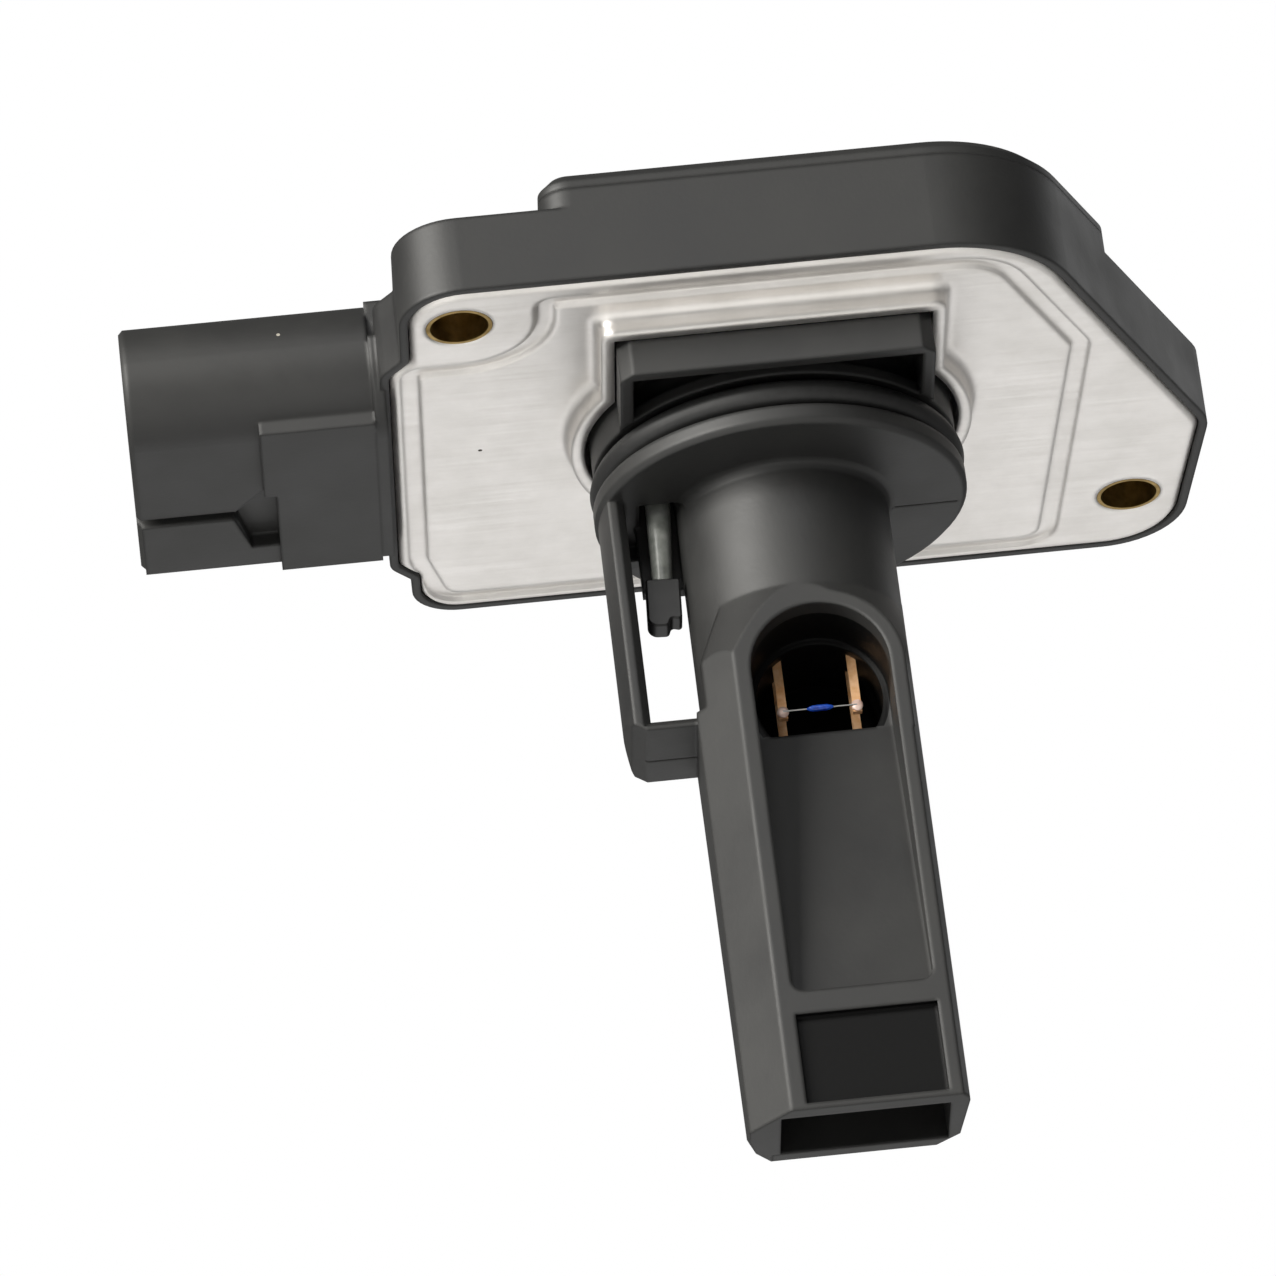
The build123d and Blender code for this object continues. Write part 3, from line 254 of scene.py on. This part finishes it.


# %% [markdown]
# Glass-filled polyester comes out of the mould a deep grey black. The short fibres leave it satin
# rather than shiny, with faint clouds where the melt flowed and a fine grain. Inside the passage
# and the pocket at the tip the colour is painted near black, as painted shade where little light
# comes back out, and the specular level is lowered there. The same material covers outside and
# inside: two zones tell it by place.

# %% Zones that get painted shade in the passage and the pocket
def inside_bore(tree, place, centre_x, centre_z, radius, front_y, sill_z):
    """Give 1 in a round bore that runs back along Y, above its sill, and 0 elsewhere."""
    offset = add_node(
        tree,
        "ShaderNodeVectorMath",
        {1: (centre_x * MM, 0, centre_z * MM)},
        {0: place},
        operation="SUBTRACT",
    )
    flat = add_node(
        tree,
        "ShaderNodeVectorMath",
        {1: (1, 0, 1)},
        {0: offset.outputs["Vector"]},
        operation="MULTIPLY",
    )
    reach = add_node(
        tree, "ShaderNodeVectorMath", links={0: flat.outputs["Vector"]}, operation="LENGTH"
    )
    near = add_node(
        tree,
        "ShaderNodeMath",
        {1: radius * MM},
        {0: reach.outputs["Value"]},
        operation="LESS_THAN",
    )
    depth = add_node(tree, "ShaderNodeSeparateXYZ", links={"Vector": place})
    past_front = add_node(
        tree, "ShaderNodeMath", {1: front_y * MM}, {0: depth.outputs["Y"]}, operation="GREATER_THAN"
    )
    above = add_node(
        tree, "ShaderNodeMath", {1: sill_z * MM}, {0: depth.outputs["Z"]}, operation="GREATER_THAN"
    )
    # The outer face of the plate that closes the bore looks to the rear, and stays satin.
    rearward = 0.5
    facing = add_node(tree, "ShaderNodeTexCoord")
    turned = add_node(tree, "ShaderNodeSeparateXYZ", links={"Vector": facing.outputs["Normal"]})
    inward = add_node(
        tree, "ShaderNodeMath", {1: rearward}, {0: turned.outputs["Y"]}, operation="LESS_THAN"
    )
    zone = near.outputs[0]
    for condition in (past_front, inward, above):
        zone = add_node(
            tree, "ShaderNodeMath", links={0: zone, 1: condition.outputs[0]}, operation="MULTIPLY"
        ).outputs[0]
    return zone


def inside_box(tree, place, low, high):
    """Give 1 between two corners and 0 elsewhere."""
    middle = [(a + b) / 2 * MM for a, b in zip(low, high)]
    half = [(b - a) / 2 * MM for a, b in zip(low, high)]
    offset = add_node(
        tree, "ShaderNodeVectorMath", {1: middle}, {0: place}, operation="SUBTRACT"
    )
    size = add_node(
        tree, "ShaderNodeVectorMath", links={0: offset.outputs["Vector"]}, operation="ABSOLUTE"
    )
    over = add_node(
        tree, "ShaderNodeVectorMath", {1: half}, {0: size.outputs["Vector"]}, operation="SUBTRACT"
    )
    parts = add_node(tree, "ShaderNodeSeparateXYZ", links={"Vector": over.outputs["Vector"]})
    worst = parts.outputs["X"]
    for axis in "YZ":
        worst = add_node(
            tree, "ShaderNodeMath", links={0: worst, 1: parts.outputs[axis]}, operation="MAXIMUM"
        ).outputs[0]
    return add_node(
        tree, "ShaderNodeMath", {1: 0.0}, {0: worst}, operation="LESS_THAN"
    ).outputs[0]


# %% Moulded glass-filled plastic
# The passage and the pocket at the tip get painted shade: a near-black colour, a lower specular
# level and their own roughness.
passage_shade_zone = {
    "centre_x": 0.85,
    "centre_z": -26.8,
    "radius": 5.5,
    "front_y": -6.6,
    "sill_z": -29.55,
}
pocket_shade_zone = {"low": (-4.7, -8.3, -64.0), "high": (6.4, -5.0, -56.3)}
painted_shade_colour = "#0b0b0b"
shade_zone_roughness = 0.42
shade_zone_specular = 0.12
usual_specular = 0.5


def moulded_plastic(name, dark, light, rough_low, rough_high, edge):
    """Satin moulded plastic with flow clouds, fine grain, a few pale dust specks and painted shade
    inside.
    """
    material, tree, shader, place = new_material(name, dark, 0.5)
    # Flow clouds are about 11 mm wide, the grain about 0.4 mm, and dust cells about 5 mm.
    clouds, tone = clouded_tone(
        tree, place, dark, light, scale=90.0, detail=4.0, roughness=0.6
    )
    grain = add_node(
        tree,
        "ShaderNodeTexNoise",
        {"Scale": 2600.0, "Detail": 2.0, "Roughness": 0.6},
        {"Vector": place},
    )
    dusted = specked(tree, place, tone, "#8f8a80", scale=210.0, size=0.034, rarity=0.88)
    bore = inside_bore(tree, place, **passage_shade_zone)
    pocket = inside_box(tree, place, **pocket_shade_zone)
    painted_shade_zone = add_node(
        tree, "ShaderNodeMath", links={0: bore, 1: pocket}, operation="MAXIMUM"
    ).outputs[0]
    # Painted shade: inside the passage and the pocket the colour turns near black.
    painted_shade_mix = add_node(
        tree, "ShaderNodeMix", links={"Factor": painted_shade_zone}, data_type="RGBA", blend_type="MIX"
    )
    tree.links.new(dusted, painted_shade_mix.inputs[6])
    painted_shade_mix.inputs[7].default_value = hex_linear(painted_shade_colour)
    tree.links.new(painted_shade_mix.outputs[2], shader.inputs["Base Color"])
    sheen = add_node(
        tree,
        "ShaderNodeMix",
        {2: usual_specular, 3: shade_zone_specular},
        {0: painted_shade_zone},
        data_type="FLOAT",
    )
    tree.links.new(sheen.outputs[0], shader.inputs["Specular IOR Level"])
    gloss = add_node(
        tree,
        "ShaderNodeMapRange",
        {
            "From Min": pattern_low,
            "From Max": pattern_high,
            "To Min": rough_low,
            "To Max": rough_high,
        },
        {"Value": clouds},
    )
    smoother = add_node(
        tree,
        "ShaderNodeMix",
        {3: shade_zone_roughness},
        {0: painted_shade_zone, 2: gloss.outputs["Result"]},
        data_type="FLOAT",
    )
    tree.links.new(smoother.outputs[0], shader.inputs["Roughness"])
    rounded_relief(
        tree, shader, grain.outputs["Fac"], strength=0.25, depth=0.03, edge=edge, samples=6
    )
    return material


black_plastic = moulded_plastic(
    "glass_filled_polyester", "#1e1e1e", "#262625", rough_low=0.46, rough_high=0.58, edge=0.45
)
print(black_plastic.name, "has", len(black_plastic.node_tree.nodes), "nodes")

# %% [markdown]
# The plate is cut from cold-rolled aluminium sheet. Rolling leaves fine lines along one direction,
# which spread reflections across them, so the sheet looks like satin cloth with a soft sheen.

# %% Rolled aluminium sheet
def rolled_sheet(name):
    """Matt rolled sheet with lines along X, soft clouds and a few dark specks."""
    material, tree, shader, place = new_material(name, "#eceae6", 0.42, metallic=1.0)
    # The lines are 0.4 mm apart, coarser than real ones so that they show, and 17 mm long.
    stretched = add_node(
        tree, "ShaderNodeMapping", {"Scale": (60.0, 2600.0, 2600.0)}, {"Vector": place}
    )
    lines = add_node(
        tree,
        "ShaderNodeTexNoise",
        {"Scale": 1.0, "Detail": 3.0, "Roughness": 0.65},
        {"Vector": stretched.outputs["Vector"]},
    )
    _, tone = clouded_tone(
        tree, place, "#e6e3df", "#f5f2ef", scale=160.0, detail=5.0, roughness=0.6
    )
    marked = specked(tree, place, tone, "#4a453f", scale=260.0, size=0.045, rarity=0.95)
    tree.links.new(marked, shader.inputs["Base Color"])
    gloss = add_node(
        tree,
        "ShaderNodeMapRange",
        {"From Min": pattern_low, "From Max": pattern_high, "To Min": 0.36, "To Max": 0.52},
        {"Value": lines.outputs["Fac"]},
    )
    tree.links.new(gloss.outputs["Result"], shader.inputs["Roughness"])
    rounded_relief(
        tree, shader, lines.outputs["Fac"], strength=0.2, depth=0.04, edge=0.8, samples=8
    )
    return material


aluminium = rolled_sheet("rolled_aluminium_sheet")
print(aluminium.name, "has", len(aluminium.node_tree.nodes), "nodes")

# %% [markdown]
# The small parts are rubber, brass, copper alloy, tinned wire, glass, ceramic and epoxy. Each gets
# a mottled tone and its own gloss, because even a turned brass bush is never one flat colour.

# %% Finishes of the small parts
def mottled(name, dark, light, roughness, metallic=0.0, scale=900.0, bump=0.1, ior=1.5):
    """A plain finish broken up by soft mottling of a given scale."""
    material, tree, shader, place = new_material(name, dark, roughness, metallic, ior)
    patches, tone = clouded_tone(
        tree, place, dark, light, scale=scale, detail=3.0, roughness=0.55
    )
    tree.links.new(tone, shader.inputs["Base Color"])
    relief_depth = 0.03 * MM
    relief = add_node(
        tree, "ShaderNodeBump", {"Strength": bump, "Distance": relief_depth}, {"Height": patches}
    )
    tree.links.new(relief.outputs["Normal"], shader.inputs["Normal"])
    return material


# Moulded rubber is dull and very dark.
rubber = mottled("nitrile_rubber", "#151515", "#1d1d1d", 0.55, scale=1500.0)
# Turned brass has dulled, and copper alloy was stamped from strip: both are warm and satin.
brass = mottled("turned_brass", "#77602f", "#b59a62", 0.42, 1.0, scale=700.0)
copper_alloy = mottled("stamped_copper_alloy", "#d9a06a", "#f2c79a", 0.5, 0.45, scale=1200.0)
# Metal that was molten is paler than the strip, and tin is grey.
weld_metal = mottled("weld_nugget", "#d8b4a4", "#f0d8cc", 0.45, 0.4, scale=1500.0)
tinned_wire = mottled("tinned_wire", "#a8a8a6", "#c8c8c4", 0.35, 1.0, scale=1500.0)
# Fused glass is glossy, epoxy is left lumpy by dipping, and the sleeve is cloudy.
blue_glass = mottled(
    "fused_blue_glass", "#0c2a86", "#2f62d8", 0.14, scale=1600.0, bump=0.02, ior=1.52
)
dipped_epoxy = mottled("dipped_epoxy", "#0b0b0b", "#121212", 0.45, scale=900.0, bump=0.3)
milky_glass = mottled(
    "milky_glass", "#50534f", "#7f817d", 0.30, scale=620.0, bump=0.3, ior=1.52
)
# The pieces inside are hidden once the lid is on: sealant, ceramics, chips, ribbon and gel.
sealant = mottled("cured_silicone_sealant", "#1a1a1a", "#222222", 0.5, scale=700.0)
ceramic = mottled("alumina_ceramic", "#dcdad2", "#ebe9e2", 0.5, scale=1800.0)
chip_epoxy = mottled("moulded_chip_epoxy", "#1b1b1d", "#232326", 0.4, scale=2500.0)
chip_ceramic = mottled("barium_titanate_ceramic", "#8a7458", "#a08a6a", 0.4, scale=1500.0)
resistor_glaze = mottled("glazed_resistor_film", "#20242a", "#2a3038", 0.3, scale=1500.0)
bond_metal = mottled("drawn_aluminium_ribbon", "#c4c4c4", "#dddddd", 0.3, 1.0, scale=1500.0)
soft_gel = mottled(
    "clear_silicone_gel", "#c9d0d0", "#dbe0e0", 0.12, scale=300.0, bump=0.05, ior=1.41
)
gel_cover = 0.35
soft_gel.node_tree.nodes["Principled BSDF"].inputs["Alpha"].default_value = gel_cover
print("the gel hides", gel_cover, "of what lies under it")

# %% Give each solid its finish
finishes = {
    "housing": black_plastic,
    "cover": black_plastic,
    "passage_cover": black_plastic,
    "base_plate": aluminium,
    "o_ring": rubber,
    "bushing_left": brass,
    "bushing_right": brass,
    "cover_sealant": sealant,
    "plate_sealant": sealant,
    "sense_post_left": copper_alloy,
    "sense_post_right": copper_alloy,
    "compensation_post_left": copper_alloy,
    "compensation_post_right": copper_alloy,
    "heating_element": blue_glass,
    "compensation_element": blue_glass,
    "thermistor": dipped_epoxy,
    "thermistor_sleeve": milky_glass,
    "thermistor_lead_front": tinned_wire,
    "thermistor_lead_rear": tinned_wire,
    "circuit_board": ceramic,
    "control_chip": chip_epoxy,
    "chip_capacitors": chip_ceramic,
    "chip_resistors": resistor_glaze,
    "bond_wires": bond_metal,
    "sealing_gel": soft_gel,
    **{f"terminal_{number}": tinned_wire for number in range(1, 6)},
}
for node_name, node_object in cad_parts.items():
    node_object.data.materials.clear()
    node_object.data.materials.append(finishes[node_name])
print("finishes laid on", len(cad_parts), "solids")

# %% [markdown]
# ## The sealing ring
#
# A moulded rubber ring leaves its tool with a fine flash line round its outside, where the two
# halves met. A torus gives the round section, and its outermost loop is drawn out into that line.

# %% Helpers for modelling by hand
def deselect_all():
    """Clear the selection, because an operator acts on all that is selected."""
    bpy.ops.object.select_all(action="DESELECT")


def pick_vertices(piece, wanted):
    """In edit mode, select only the vertices whose place passes a test, and count them."""
    bpy.ops.object.mode_set(mode="EDIT")
    bpy.ops.mesh.select_mode(type="VERT")
    bpy.ops.mesh.select_all(action="DESELECT")
    mesh = bmesh.from_edit_mesh(piece.data)
    chosen = [vertex for vertex in mesh.verts if wanted(vertex.co)]
    for vertex in chosen:
        vertex.select_set(True)
    mesh.select_flush(True)
    bmesh.update_edit_mesh(piece.data)
    return len(chosen)


def finish_piece(piece, name, node_name, finish, crease=40):
    """Put the place into the mesh, smooth it, lay on the finish and let it stand for a solid."""
    if bpy.context.object.mode == "EDIT":
        bpy.ops.object.mode_set(mode="OBJECT")
    deselect_all()
    piece.select_set(True)
    bpy.context.view_layer.objects.active = piece
    bpy.ops.object.transform_apply(location=True, rotation=True, scale=True)
    bpy.ops.object.shade_smooth_by_angle(angle=radians(crease))
    piece.name = name
    piece.data.materials.clear()
    piece.data.materials.append(finish)
    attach(piece, "root")
    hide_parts(node_name)
    deselect_all()
    print(name, "has", len(piece.data.polygons), "faces")


# %% Model the rubber ring
ring_low, ring_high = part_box("o_ring")
ring_section = (ring_high.z - ring_low.z) / 2
ring_centre = (ring_low + ring_high) / 2
ring_reach = (ring_high.x - ring_low.x) / 2
flash_line = 0.05 * MM  # how far the line stands out
deselect_all()
bpy.ops.mesh.primitive_torus_add(
    major_radius=ring_reach - ring_section - flash_line,
    minor_radius=ring_section,
    major_segments=144,
    minor_segments=32,
    location=ring_centre,
)
ring = bpy.context.object
edge_reach = ring_reach - flash_line
slack = 0.001 * MM
count = pick_vertices(ring, lambda co: co.xy.length > edge_reach - slack)
stretch = ring_reach / edge_reach
bpy.ops.transform.resize(value=(stretch, stretch, 1.0), center_override=ring_centre)
print("flash line runs through", count, "points")
finish_piece(ring, "sealing_ring", "o_ring", rubber)

# %% [markdown]
# ## The sensing elements
#
# Each element is a hair of platinum wire with a bead of blue glass fused round its middle. Its ends
# are welded to the posts, and each weld leaves a pale flat nugget a little wider than the post. The
# bead starts as a short rod whose ends are drawn down to the wire, as the molten glass does.

# %% Model one sensing element
def wire_rod(name, radius, depth, place, sides):
    """Lay a closed rod along X with its middle at a place."""
    deselect_all()
    bpy.ops.mesh.primitive_cylinder_add(
        vertices=sides, radius=radius, depth=depth, location=place, rotation=(0, radians(90), 0)
    )
    bpy.context.object.name = name
    bpy.ops.object.transform_apply(location=False, rotation=True, scale=False)
    return bpy.context.object


def fuse_bead(rod, place, half_length, wire_radius, radius):
    """Draw both ends of a rod down to the wire in two steps, so that it becomes a bead."""
    # Each draw goes on by a share of the half length and narrows what the last one left.
    draws = ((0.28, 0.72), (0.22, 0.42))
    near_end = 0.4 * half_length
    for side in (-1, 1):
        pick_vertices(rod, lambda co: side * co.x > near_end)
        end = Vector(place) + Vector((side * half_length, 0, 0))
        for step, share in draws:
            bpy.ops.mesh.extrude_region_move(
                TRANSFORM_OT_translate={"value": (side * step * half_length, 0, 0)}
            )
            shrink = max(share, wire_radius / radius)
            bpy.ops.transform.resize(value=(1, shrink, shrink), center_override=end)


def weld_nugget(place, width, height, depth, seed):
    """Model a flat, slightly uneven blob of once molten metal."""
    unevenness = 0.04 * width
    deselect_all()
    bpy.ops.mesh.primitive_uv_sphere_add(segments=20, ring_count=12, radius=0.5, location=place)
    nugget = bpy.context.object
    nugget.scale = (width, depth, height)
    bpy.ops.object.transform_apply(location=False, rotation=False, scale=True)
    bpy.ops.object.mode_set(mode="EDIT")
    bpy.ops.mesh.select_all(action="SELECT")
    bpy.ops.transform.vertex_random(offset=unevenness, seed=seed)
    bpy.ops.object.mode_set(mode="OBJECT")
    return nugget


def sensing_element(node_name, prefix, seed):
    """Build wire, bead and welds in the room of one solid element."""
    low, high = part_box(node_name)
    middle = (low + high) / 2
    wire_radius = 0.07 * MM
    bead_radius = 0.26 * MM
    bead_half = 1.0 * MM
    rod_length = 1.1 * bead_half
    weld_inset = 0.25 * MM
    weld_width = 0.95 * MM
    weld_depth = 0.3 * MM
    weld_from_rear = 0.12 * MM
    wire_place = (middle.x, high.y - bead_radius, middle.z)
    wire = wire_rod("wire", wire_radius, high.x - low.x - 2 * weld_inset, wire_place, 16)
    finish_piece(wire, prefix + "_wire", node_name, tinned_wire)
    bead = wire_rod("bead", bead_radius, rod_length, wire_place, 20)
    fuse_bead(bead, wire_place, bead_half, wire_radius, bead_radius)
    finish_piece(bead, prefix + "_bead", node_name, blue_glass)
    for label, x in (("left", low.x + weld_inset), ("right", high.x - weld_inset)):
        weld_place = (x, high.y - weld_from_rear, middle.z)
        weld = weld_nugget(weld_place, weld_width, weld_width, weld_depth, seed)
        finish_piece(weld, prefix + "_weld_" + label, node_name, weld_metal)
        seed += 1


sensing_element("heating_element", "heater", 3)
sensing_element("compensation_element", "compensator", 7)

# %% [markdown]
# ## The drafted tip
#
# The probe's tip is drafted so that it finds its way into the duct: its rear corners are broken and
# the right side leans in. Each cut is a block with one face on the plane of the cut, taken away
# from a merged copy of the moulding, because the solids themselves are never changed. A small box
# also clears a sliver beside the thermistor window. Edges where two faces of the solid meet are
# marked sharp before the merge, or the shading would run from one face into the next.

# %% Helpers for trimming a copy of a solid
def merged_copy(node_name, name):
    """Copy a solid, mark the borders of its faces sharp and merge the points they share."""
    same_point = 0.0005 * MM
    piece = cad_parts[node_name].copy()
    piece.data = piece.data.copy()
    bpy.context.scene.collection.objects.link(piece)
    piece.name = name
    deselect_all()
    piece.select_set(True)
    bpy.context.view_layer.objects.active = piece
    bpy.ops.object.mode_set(mode="EDIT")
    bpy.context.tool_settings.mesh_select_mode = (False, True, False)
    bpy.ops.mesh.select_all(action="DESELECT")
    bpy.ops.mesh.select_non_manifold(
        use_wire=False, use_multi_face=False, use_non_contiguous=False, use_verts=False
    )
    bpy.ops.mesh.mark_sharp()
    bpy.context.tool_settings.mesh_select_mode = (True, False, False)
    bpy.ops.mesh.select_all(action="SELECT")
    bpy.ops.mesh.remove_doubles(threshold=same_point)
    bpy.ops.object.mode_set(mode="OBJECT")
    return piece


def block_beyond(corners, inside, size):
    """Add a block that touches the plane through three corners from the side away from a point."""
    first, second, third = (Vector(corner) * MM for corner in corners)
    normal = (second - first).cross(third - first).normalized()
    if normal.dot(Vector(inside) * MM - first) > 0:
        normal.negate()
    centre_of_block = (first + second + third) / 3 + normal * size * MM / 2
    deselect_all()
    bpy.ops.mesh.primitive_cube_add(size=size * MM, location=centre_of_block)
    block = bpy.context.object
    block.rotation_euler = normal.to_track_quat("Z", "Y").to_euler()
    bpy.ops.object.transform_apply(location=False, rotation=True, scale=False)
    return block


def cut_away(piece, block):
    """Subtract a block from a piece, for good, and leave the block for the next cut."""
    deselect_all()
    piece.select_set(True)
    bpy.context.view_layer.objects.active = piece
    cut = piece.modifiers.new("cut", "BOOLEAN")
    cut.operation = "DIFFERENCE"
    cut.solver = "EXACT"
    cut.object = block
    bpy.ops.object.modifier_apply(modifier=cut.name)


# %% Set out the cuts
tip_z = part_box("housing")[0].z / MM
inside_tip = (0.0, -3.0, tip_z + 8.0)
tip_planes = {
    "left_corner": ([(-9.0, -1.9, tip_z), (-7.3, 0.6, tip_z), (-9.0, 0.9, tip_z + 2.6)], 9.0),
    "left_edge": ([(-9.0, -3.4, tip_z), (-8.3, -0.3, tip_z), (-9.0, -0.3, tip_z + 1.6)], 9.0),
    "right_side": ([(7.9, -7.3, tip_z), (7.25, -0.8, tip_z), (8.6, -0.8, tip_z + 6.0)], 12.0),
    "right_corner": ([(7.45, -1.3, tip_z), (5.5, 0.6, tip_z), (7.4, 1.3, tip_z + 4.0)], 9.0),
}
blocks = {
    label: block_beyond(corners, inside_tip, size)
    for label, (corners, size) in tip_planes.items()
}
window_corner_place = (-8.7 * MM, 6.4 * MM, -23.05 * MM)
window_corner_size = (1.6, 1.8, 10.3)
deselect_all()
bpy.ops.mesh.primitive_cube_add(size=1.0 * MM, location=window_corner_place)
blocks["window_corner"] = bpy.context.object
blocks["window_corner"].scale = window_corner_size
bpy.ops.object.transform_apply(location=False, rotation=False, scale=True)
print("blocks to cut with:", ", ".join(blocks))

# %% Trim the moulding and the plate that closes the passage
trimmed = {
    "housing": ("trimmed_moulding", tuple(blocks)),
    "passage_cover": ("closed_passage", ("right_side", "right_corner")),
}
for node_name, (piece_name, cuts) in trimmed.items():
    piece = merged_copy(node_name, piece_name)
    for label in cuts:
        cut_away(piece, blocks[label])
    finish_piece(piece, piece_name, node_name, black_plastic, crease=30)
for block in blocks.values():
    bpy.data.objects.remove(block)

# %% [markdown]
# ## Smooth shading
#
# The solids are meshes of triangles, and a round wall made of flat ones would show its facets.
# More triangles would hide them too, but shading the solids smooth costs nothing: turned and
# moulded forms look round, and edges where faces meet at more than 30 degrees stay crisp.

# %% Smooth the curved faces of the solids
deselect_all()
for node_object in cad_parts.values():
    node_object.select_set(True)
bpy.context.view_layer.objects.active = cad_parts["housing"]
crisp_edge = radians(30)
bpy.ops.object.shade_smooth_by_angle(angle=crisp_edge)
deselect_all()
print("smoothed", len(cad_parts), "solids")
